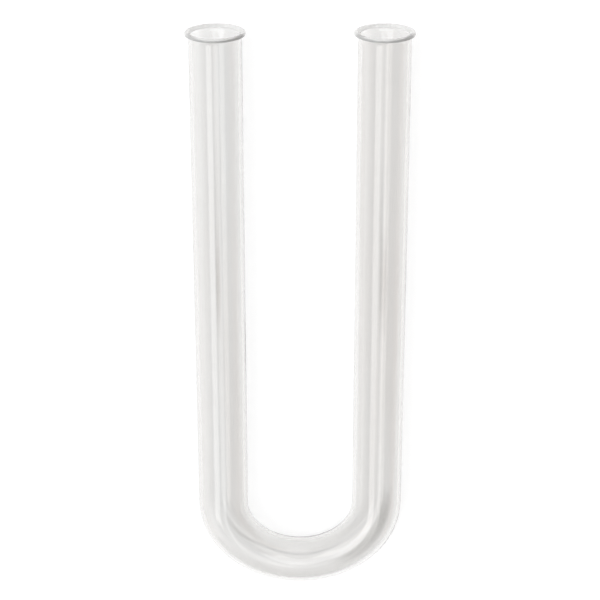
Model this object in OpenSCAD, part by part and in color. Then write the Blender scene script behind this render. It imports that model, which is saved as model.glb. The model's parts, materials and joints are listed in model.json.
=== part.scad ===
// U-shaped drying tube of clear glass: one length of tubing bent into a U, open at both
// ends, with the wall of each mouth flared outward into a smooth rim.
//
// The tube lies on its side as it rests on a bench. Z is up, the bench is z = 0, both mouths
// open towards +Y, and the origin is on the bench under the middle of the tube.

/* [Tubing] */
// Outside diameter of the glass tube
tube_d = 17; // [12:0.5:26]
// Thickness of the glass
wall = 1.2; // [0.8:0.1:2]

/* [U shape] */
// Length over all, from the top of the rims to the outside of the bend
overall_len = 200; // [120:1:300]
// Distance between the centre lines of the two arms
arm_spacing = 53.5; // [40:0.5:100]
// Depth of the bend against a true half circle, because bending flattens the tube a little
bend_flatness = 0.89; // [0.8:0.01:1]

/* [Flared mouths] */
// Radius that the middle of the wall follows as it turns outward
flare_r = 2.5; // [1.5:0.1:6]
// Angle that the wall has turned outward where it ends in the rim
flare_angle = 57; // [35:1:70]
// How much further than half the wall the melted edge of the rim swells
edge_swell = 0.1; // [0.05:0.05:0.5]

/* [Hidden] */
$fn = 96;

tube_r = tube_d / 2;
bore_r = tube_r - wall;
wall_mid_r = tube_r - wall / 2;

// The bend is a half ring of this radius, pressed to bend_flatness of its depth
bend_r = arm_spacing / 2;
bend_depth = bend_flatness * (bend_r + tube_r);

// The melted edge is a ring of round section, this far out from the arm's centre line and
// this far along it from the bend
edge_r = wall / 2 + edge_swell;
edge_ring_r = wall_mid_r + flare_r * (1 - cos(flare_angle));
flare_rise = flare_r * sin(flare_angle);
straight_len = overall_len - bend_depth - flare_rise - edge_r;
edge_ring_y = straight_len + flare_rise;

// The rims stand out further than the bend, so the tube leans until all three touch the bench
bend_mid_y = bend_flatness * bend_r;
rest_span = edge_ring_y + bend_mid_y;
rest_tilt = atan2(edge_ring_r, rest_span) - asin((tube_r - edge_r) / norm([rest_span, edge_ring_r]));
rest_height = tube_r + bend_mid_y * sin(rest_tilt);
front_y = edge_ring_y * cos(rest_tilt) + edge_ring_r * sin(rest_tilt) + edge_r;
back_y = bend_mid_y * cos(rest_tilt) + bend_flatness * tube_r;

// Half section of a flare, drawn from the end of the straight wall. Its origin is the centre
// of the arc that the wall follows.
module flare_section() {
    reach = flare_r + wall;
    intersection() {
        difference() {
            circle(flare_r + wall / 2);
            circle(flare_r - wall / 2);
        }
        polygon([[0, 0], [-reach, 0], [-reach, reach * tan(flare_angle)]]);
    }
    rotate(-flare_angle)
        translate([-flare_r, 0])
            circle(edge_r);
}

// One straight arm along +Y, from the bend to the top of its rim
module arm() {
    rotate([-90, 0, 0])
        rotate_extrude() {
            translate([bore_r, 0])
                square([wall, straight_len]);
            translate([wall_mid_r + flare_r, straight_len])
                flare_section();
        }
}

// The half ring that joins the arms, on the -Y side
module bend() {
    scale([1, bend_flatness, 1])
        rotate(180)
            rotate_extrude(angle = 180)
                translate([bend_r, 0])
                    difference() {
                        circle(tube_r);
                        circle(bore_r);
                    }
}

// Turns the tube from its own middle plane to the way it rests on the bench
module rest() {
    translate([0, (back_y - front_y) / 2, rest_height])
        rotate([rest_tilt, 0, 0])
            children();
}

// The whole tube, which is one piece of glass
module u_tube() {
    color("lightcyan", 0.5)
        rest()
            union() {
                for (side = [-1, 1])
                    translate([side * bend_r, 0, 0])
                        arm();
                bend();
            }
}

u_tube();
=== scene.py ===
"""Looks for the drying tube: smooth drawn glass over the CAD frame, a pale floor and soft light.

The glass is one closed skin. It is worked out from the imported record: the two mouths give the
bore, the arms and their axes, the clamp zones give the outside, and the box gives the bend and
the rims. Lengths are in metres.
"""
import json
import math

import bpy
import numpy as np
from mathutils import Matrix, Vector


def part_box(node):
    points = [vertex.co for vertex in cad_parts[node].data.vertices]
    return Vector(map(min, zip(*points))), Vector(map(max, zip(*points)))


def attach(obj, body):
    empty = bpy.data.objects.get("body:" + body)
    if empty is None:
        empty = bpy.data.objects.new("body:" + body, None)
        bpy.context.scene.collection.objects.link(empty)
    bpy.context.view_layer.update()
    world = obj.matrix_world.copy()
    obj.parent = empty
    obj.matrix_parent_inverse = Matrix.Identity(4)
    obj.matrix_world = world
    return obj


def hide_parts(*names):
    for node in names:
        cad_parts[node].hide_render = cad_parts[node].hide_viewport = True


NODE = "u_tube"
SLOT = "clear_glass"

# How much further than half the wall the melted edge of a rim swells, how far round it the edge
# is drawn each way, and the share of the flare's angle at which the flare meets it
EDGE_SWELL = 0.0001
EDGE_SPREAD = math.radians(100)
FLARE_SHARE = 0.86

# Points round the tube, and rings along each stretch of it
AROUND = 224
ARM_RINGS = 30
BEND_RINGS = 100
FLARE_RINGS = 10
EDGE_RINGS = 18

# The tubing: its index and polish, and what the glass itself soaks up and how strongly
GLASS_IOR = 1.47
GLASS_ROUGHNESS = 0.02
GLASS_BODY = (0.6, 0.592, 0.58, 1)
BODY_DENSITY = 88

# The melted lips: how far past the straight arm they start, their index and polish, and how clear
# they are. The low index stands in for the real one, with which light that a lip draws into the
# wall is lost at the renderer's limit of bounces, and the lips come out black.
LIP_START = 0.0016
LIP_IOR = 1.03
LIP_ROUGHNESS = 0.2
LIP_CLEARNESS = 0.5
LIP_COAT_ROUGHNESS = 0.03
LIP_TONE = (1, 1, 0.995, 1)

# Noise drawn out along the tube: cells each way round it, cells per metre along it, and detail
TINT_STREAKS = (1.1, 9, 2)
RIPPLE_STREAKS = (1.6, 22, 1)
LINE_STREAKS = (9, 14, 2)

# Heights of the surface's ripples and fine lines
RIPPLE = 0.00004
DRAW_LINES = 0.000002

# The tint's two tones, the noise that mixes them, and how the mix drifts from one place along
# the tube to another
WARM_TONE = (0.93, 0.92, 0.91, 1)
PLAIN_TONE = (0.955, 0.955, 0.951, 1)
NOISE_LOW = 0.3
NOISE_HIGH = 0.7
DRIFT_START = -0.16
DRIFT_END = 0.24
DRIFT_SHARE = 0.25

# Faint patches of painted shade and painted light laid over the tint: darker streaks and lines
# stand in for shade and dark reflections in the glass, and one paler patch for a brighter
# reflection. Each goes over those before it: middle, half width and soft edge along the tube, in
# metres from the right arm's end; the same round it, in degrees from its outer side up over the
# top; how many degrees a metre it winds round; and its painted tone
PAINTED_LIGHT_AND_SHADE = (
    # Painted shade: a darker streak along the top of each arm, standing in for shade seen through
    # the glass
    ("left_arm_painted_shade", (0.17, 0.012, 0.013), (89, 5, 4), 0, (0.83, 0.81, 0.795, 1)),
    ("right_arm_painted_shade", (-0.086, 0.012, 0.013), (86, 7, 4), 0, (0.81, 0.79, 0.775, 1)),
    # Painted light: a paler patch on the bend's inner side, standing in for a bright reflection
    # there
    ("bend_inside_painted_light", (0.042, 0.026, 0.014), (162, 14, 6), 0, (1, 1, 0.995, 1)),
    # Painted reflection: dark lines round the bend and where it meets the left arm, standing in
    # for dark bands reflected in the glass
    ("bend_painted_dark_line", (0.044, 0.017, 0.01), (136, 3, 3), 0, (0.84, 0.835, 0.83, 1)),
    ("left_painted_dark_line", (0.068, 0.009, 0.007), (122, 3, 4), -1700, (0.86, 0.85, 0.84, 1)),
    # Painted shade: darker patches over the top of the bend, the deepest towards its right end
    ("bend_outside_painted_shade", (0.042, 0.022, 0.012), (84, 15, 8), 0, (0.86, 0.855, 0.847, 1)),
    ("bend_right_painted_shade", (0.0105, 0.0155, 0.007), (81, 13, 8), 750, (0.72, 0.712, 0.7, 1)),
)

# Where the photograph's camera stands, against the middle of the tube
VIEW_DISTANCE = 0.631
VIEW_LEAN = math.radians(23.63)
VIEW_AIM = Vector((0, 0.0022, 0.0091))
VIEW_TURN = math.radians(0.46)
LENS_MM = 113
SENSOR_MM = 36
NEAREST = 0.01

# How wide the floor is, and how bright the studio: the dim ceiling, the pale walls and the floor
FLOOR_SIZE = 8
CEILING = 0.15
WALLS = 0.95
FLOOR_COLOUR = 0.35
FLOOR_GLOW = 0.8

# Where the walls give way to the ceiling, as the height of a direction above the floor
WALL_LOW = 0.22
WALL_HIGH = 0.4

# Panels of light and shade on the sky, each over those before it: middle and half width across
# the tube, in degrees from straight up, middle and half length along it, as a share of the sky,
# and colour
PANELS = (
    ("pale_left", -58, 16, 0, 0.8, (0.8, 0.8, 0.8)),
    ("strip_light", -28, 13, 0.03, 0.61, (2.8, 2.8, 2.8)),
    ("box_light", -6, 32, 0.42, 0.26, (2.1, 2.1, 2.1)),
    ("overhead", 0, 14, -0.29, 0.28, (0.7, 0.7, 0.7)),
    ("thin_strip", 8, 6, -0.29, 0.28, (1.7, 1.7, 1.7)),
    ("onlooker", -6, 8, -0.378, 0.035, (0, 0, 0)),
    ("warm_door", 80, 16, 0, 0.9, (0.35, 0.27, 0.22)),
    ("front_window", 0, 180, 1.02, 0.05, (1.8, 1.8, 1.8)),
    ("dim_back", 0, 180, -0.9, 0.12, (0.15, 0.15, 0.15)),
)

# Width of a panel's soft edge, in degrees across the tube and as a share of the sky along it
EDGE_ACROSS = 3
EDGE_ALONG = 0.03


def node_tree(owner):
    """Empties a material's or world's node tree and gives it back."""
    owner.use_nodes = True
    owner.node_tree.nodes.clear()
    return owner.node_tree


def add(tree, kind, settings=(), **inputs):
    """Adds a node, with its settings, and plain values or links on its inputs.

    An input goes by its name, with _ for a space, or by its number after an i.
    """
    node = tree.nodes.new("ShaderNode" + kind)
    for name, value in dict(settings).items():
        setattr(node, name, value)
    for name, value in inputs.items():
        key = int(name[1:]) if name[0] == "i" and name[1:].isdigit() else name.replace("_", " ")
        if isinstance(value, bpy.types.NodeSocket):
            tree.links.new(value, node.inputs[key])
        else:
            node.inputs[key].default_value = value
    return node


def maths(tree, operation, *values, clamp=False):
    """The result of a Math node on values or links."""
    inputs = {f"i{place}": value for place, value in enumerate(values)}
    settings = {"operation": operation, "use_clamp": clamp}
    return add(tree, "Math", settings, **inputs).outputs[0]


def mix(tree, share, first, second):
    """One colour at share 0, and the other at share 1."""
    return add(tree, "Mix", {"data_type": "RGBA"}, i0=share, i6=first, i7=second).outputs[2]


class Tube:
    """The tube's sizes and its own axes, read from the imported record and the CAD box."""

    def __init__(self, record, low, high):
        mounts = {m["name"]: m for m in record["mounts"]}
        left = mounts["left_mouth"]
        right = mounts["right_mouth"]
        self.along = Vector(right["axis"]).normalized()
        self.across = Vector((1, 0, 0))
        self.up = self.across.cross(self.along)
        self.straight = right["dims"]["length_mm"] / 1000
        self.bore_r = right["dims"]["r_mm"] / 1000
        self.tube_r = mounts["right_clamp_zone"]["dims"]["r_mm"] / 1000
        middle = (Vector(left["pos_m"]) + Vector(right["pos_m"])) / 2
        self.origin = middle - self.along * self.straight / 2
        self.bend_r = right["pos_m"][0] - self.origin.x
        self.flatness = (self.origin.y - low.y) / (self.bend_r + self.tube_r)
        self.set_rim(high)

    def set_rim(self, high):
        """Works out the flare from how far the rim stands out and how far it stands proud."""
        self.wall = self.tube_r - self.bore_r
        self.mid_r = (self.tube_r + self.bore_r) / 2
        self.edge_r = self.wall / 2 + EDGE_SWELL
        lowest = self.origin + self.along * self.straight - self.up * self.tube_r
        out = high.x - self.bend_r - self.mid_r - self.edge_r
        rise = high.y - lowest.y - self.edge_r
        self.flare_angle = 2 * math.atan2(out, rise)
        self.flare_r = rise / math.sin(self.flare_angle)

    def place(self, x, y, z):
        """A point in the row frame, from one in the tube's own plane."""
        return self.origin + self.across * x + self.along * y + self.up * z


def arc(cx, cy, r, start, end, count):
    """Points on an arc, angles in radians."""
    return [(cx + r * math.cos(a), cy + r * math.sin(a)) for a in np.linspace(start, end, count)]


def rim_profile(tube):
    """(radius, distance along the arm) from the outside wall, over the rim, to the bore."""
    centre = tube.mid_r + tube.flare_r
    edge_x = centre - tube.flare_r * math.cos(tube.flare_angle)
    edge_y = tube.straight + tube.flare_r * math.sin(tube.flare_angle)
    outer_r = tube.flare_r - tube.wall / 2
    inner_r = tube.flare_r + tube.wall / 2
    last = math.pi - tube.flare_angle * FLARE_SHARE
    outside = arc(centre, tube.straight, outer_r, math.pi, last, FLARE_RINGS)
    inside = arc(centre, tube.straight, inner_r, last, math.pi, FLARE_RINGS)
    turn = math.pi / 2 - tube.flare_angle
    edge = arc(edge_x, edge_y, tube.edge_r, turn - EDGE_SPREAD, turn + EDGE_SPREAD, EDGE_RINGS)
    return outside + edge + inside


def stations(tube):
    """The closed run of rings along the skin: (radius, distance along the arm, angle of the bend).

    It runs out along the right arm, over its rim, back down the bore, round the bend and up to the
    left rim, and home along the outside.
    """
    rim = rim_profile(tube)
    steps = np.linspace(0, tube.straight, ARM_RINGS)
    turns = np.linspace(0, math.pi, BEND_RINGS)
    right = [(tube.tube_r, y, 0) for y in steps[:-1]]
    right += [(r, y, 0) for r, y in rim]
    right += [(tube.bore_r, y, 0) for y in steps[-2:0:-1]]
    inner = [(tube.bore_r, 0, a) for a in turns]
    left = [(tube.bore_r, y, math.pi) for y in steps[1:-1]]
    left += [(r, y, math.pi) for r, y in rim[::-1]]
    left += [(tube.tube_r, y, math.pi) for y in steps[-2:0:-1]]
    outer = [(tube.tube_r, 0, a) for a in turns[::-1]]
    return right + inner + left + outer[:-1]


def skin_points(tube, rings):
    """Every ring's points, and the grain at each: its turn as a cosine and a sine, and its run.

    The run is the distance along the tube from the right arm's end, below 0 on that arm.
    """
    points = []
    grain = []
    for radius, y, angle in rings:
        run = tube.bend_r * angle + (y if angle > 0 else -y)
        for i in range(AROUND):
            turn = 2 * math.pi * i / AROUND
            out = tube.bend_r + radius * math.cos(turn)
            spot = (out * math.cos(angle), y - tube.flatness * out * math.sin(angle))
            points.append(tuple(tube.place(*spot, radius * math.sin(turn))))
            grain.append((math.cos(turn), math.sin(turn), run))
    return points, grain


def skin_faces(tube, rings):
    """The quads between neighbouring rings, and 1 for each on a melted lip, 0 for the others."""
    faces = []
    lips = []
    for j in range(len(rings)):
        k = (j + 1) % len(rings)
        middle = (rings[j][1] + rings[k][1]) / 2
        lips += [int(middle > tube.straight + LIP_START)] * AROUND
        for i in range(AROUND):
            n = (i + 1) % AROUND
            faces.append((j * AROUND + i, k * AROUND + i, k * AROUND + n, j * AROUND + n))
    return faces, lips


def glass_skin(tube):
    """The whole glass as one closed skin of quads, with its grain stored for the material."""
    rings = stations(tube)
    points, grain = skin_points(tube, rings)
    faces, lips = skin_faces(tube, rings)
    mesh = bpy.data.meshes.new("glass_tube")
    mesh.from_pydata(points, [], faces)
    layer = mesh.attributes.new("grain", "FLOAT_VECTOR", "POINT")
    layer.data.foreach_set("vector", np.array(grain, dtype=np.float32).ravel())
    mesh.materials.append(tubing())
    mesh.materials.append(melted_lip())
    mesh.polygons.foreach_set("material_index", lips)
    mesh.shade_smooth()
    mesh.update()
    skin = bpy.data.objects.new("glass_tube", mesh)
    bpy.context.collection.objects.link(skin)
    return skin


def window(tree, value, middle, half, edge):
    """1 where value is within half of middle, falling smoothly to 0 across the edge."""
    away = maths(tree, "ABSOLUTE", maths(tree, "SUBTRACT", value, middle))
    fall = {"interpolation_type": "SMOOTHSTEP"}
    outer = half + edge
    inner = half - edge
    return add(tree, "MapRange", fall, Value=away, From_Min=outer, From_Max=inner).outputs[0]


def streaks(tree, around, along, detail):
    """Noise drawn out along the tube: cells each way round it, and cells per metre."""
    grain = add(tree, "Attribute", {"attribute_name": "grain"})
    scaled = add(tree, "Mapping", {"vector_type": "POINT"}, Vector=grain.outputs["Vector"])
    scaled.inputs["Scale"].default_value = (around, around, along)
    return add(tree, "TexNoise", Vector=scaled.outputs[0], Scale=1, Detail=detail).outputs["Fac"]


def drifting_tint(tree, run):
    """Two tones mixed in long streaks, warmer towards the right mouth."""
    drift = add(tree, "MapRange", Value=run, From_Min=DRIFT_START, From_Max=DRIFT_END,
                To_Min=-DRIFT_SHARE, To_Max=DRIFT_SHARE).outputs[0]
    noise = add(tree, "MapRange", Value=streaks(tree, *TINT_STREAKS), From_Min=NOISE_LOW,
                From_Max=NOISE_HIGH).outputs[0]
    return mix(tree, maths(tree, "ADD", noise, drift, clamp=True), WARM_TONE, PLAIN_TONE)


def tint_and_painted_light(tree):
    """The faint tint of the tubing, with its patches of painted shade and painted light over it.
    """
    grain = add(tree, "Attribute", {"attribute_name": "grain"})
    outer, above, run = add(tree, "SeparateXYZ", Vector=grain.outputs["Vector"]).outputs
    degrees = maths(tree, "DEGREES", maths(tree, "ARCTAN2", above, outer))
    tone = drifting_tint(tree, run)
    # Each patch paints shade or light into the base colour
    for _, along, around, winding, painted_tone in PAINTED_LIGHT_AND_SHADE:
        unwound = maths(tree, "MULTIPLY_ADD", run, -winding, degrees)
        wide = window(tree, unwound, around[0] - winding * along[0], *around[1:])
        long = window(tree, run, *along)
        tone = mix(tree, maths(tree, "MULTIPLY", wide, long), tone, painted_tone)
    return tone


def drawn_surface(tree):
    """The long shallow ripples and the fine lines that drawing leaves in glass tubing."""
    ripples = add(tree, "Bump", Strength=1, Distance=RIPPLE,
                  Height=streaks(tree, *RIPPLE_STREAKS))
    lines = add(tree, "Bump", Strength=1, Distance=DRAW_LINES,
                Height=streaks(tree, *LINE_STREAKS), Normal=ripples.outputs[0])
    return lines.outputs[0]


def finish_glass(tree, shader):
    """Gives glass its surface and its own faint absorption, which darkens a longer way through."""
    body = add(tree, "VolumeAbsorption", Color=GLASS_BODY, Density=BODY_DENSITY)
    add(tree, "OutputMaterial", Surface=shader.outputs[0], Volume=body.outputs[0])


def tubing():
    """Clear drawn glass."""
    material = bpy.data.materials.new(SLOT)
    tree = node_tree(material)
    # The base colour holds the tint together with its patches of painted shade and painted light
    shader = add(tree, "BsdfPrincipled", Roughness=GLASS_ROUGHNESS, IOR=GLASS_IOR,
                 Transmission_Weight=1, Base_Color=tint_and_painted_light(tree), Normal=drawn_surface(tree))
    finish_glass(tree, shader)
    return material


def melted_lip():
    """The fire-polished lips: pale and half clear under a smooth coat."""
    material = bpy.data.materials.new("melted_lip")
    tree = node_tree(material)
    shader = add(tree, "BsdfPrincipled", Roughness=LIP_ROUGHNESS, IOR=LIP_IOR,
                 Transmission_Weight=LIP_CLEARNESS, Coat_Weight=1,
                 Coat_Roughness=LIP_COAT_ROUGHNESS, Base_Color=LIP_TONE,
                 Normal=drawn_surface(tree))
    finish_glass(tree, shader)
    return material


def floor():
    """An evenly pale floor that still takes a faint shadow."""
    bpy.ops.mesh.primitive_plane_add(size=FLOOR_SIZE)
    plane = bpy.context.object
    plane.name = "floor"
    material = bpy.data.materials.new("pale_floor")
    tree = node_tree(material)
    matt = add(tree, "BsdfDiffuse", Color=(FLOOR_COLOUR, FLOOR_COLOUR, FLOOR_COLOUR, 1))
    glow = add(tree, "Emission", Strength=FLOOR_GLOW)
    both = add(tree, "AddShader", i0=matt.outputs[0], i1=glow.outputs[0])
    add(tree, "OutputMaterial", Surface=both.outputs[0])
    plane.data.materials.append(material)


def sky():
    """A plain studio: pale walls all round, a dim ceiling, and soft panels of light and shade."""
    world = bpy.data.worlds.new("studio")
    bpy.context.scene.world = world
    tree = node_tree(world)
    where = add(tree, "TexCoord").outputs["Generated"]
    x, y, z = add(tree, "SeparateXYZ", Vector=where).outputs
    degrees = maths(tree, "DEGREES", maths(tree, "ARCTAN2", x, z))
    fade = {"interpolation_type": "SMOOTHSTEP"}
    colour = add(tree, "MapRange", fade, Value=z, From_Min=WALL_LOW, From_Max=WALL_HIGH,
                 To_Min=WALLS, To_Max=CEILING).outputs[0]
    for _, middle, half, centre, length, shade in PANELS:
        wide = window(tree, degrees, middle, half, EDGE_ACROSS)
        long = window(tree, y, centre, length, EDGE_ALONG)
        colour = mix(tree, maths(tree, "MULTIPLY", wide, long), colour, (*shade, 1))
    back = add(tree, "Background", Color=colour)
    add(tree, "OutputWorld", Surface=back.outputs[0])


def camera():
    """The photograph's view: almost straight down, leaning from the mouths' side."""
    lens = bpy.data.cameras.new("camera")
    lens.lens = LENS_MM
    lens.sensor_width = SENSOR_MM
    lens.clip_start = NEAREST
    view = bpy.data.objects.new("camera", lens)
    bpy.context.collection.objects.link(view)
    way = Vector((0, math.sin(VIEW_LEAN), math.cos(VIEW_LEAN)))
    view.location = VIEW_AIM + VIEW_DISTANCE * way
    view.rotation_euler = (VIEW_TURN - VIEW_LEAN, 0, 0)
    bpy.context.scene.camera = view


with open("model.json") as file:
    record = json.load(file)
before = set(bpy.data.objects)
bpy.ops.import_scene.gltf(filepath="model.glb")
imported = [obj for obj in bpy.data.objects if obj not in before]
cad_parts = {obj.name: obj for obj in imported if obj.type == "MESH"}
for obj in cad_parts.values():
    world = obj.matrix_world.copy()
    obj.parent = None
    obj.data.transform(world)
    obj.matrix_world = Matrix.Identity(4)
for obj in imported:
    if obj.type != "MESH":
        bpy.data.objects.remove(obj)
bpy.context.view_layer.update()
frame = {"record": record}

tube = Tube(frame["record"], *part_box(NODE))
skin = glass_skin(tube)
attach(skin, "root")
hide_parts(NODE)

floor()
sky()
camera()
bpy.context.scene.view_settings.view_transform = "Standard"
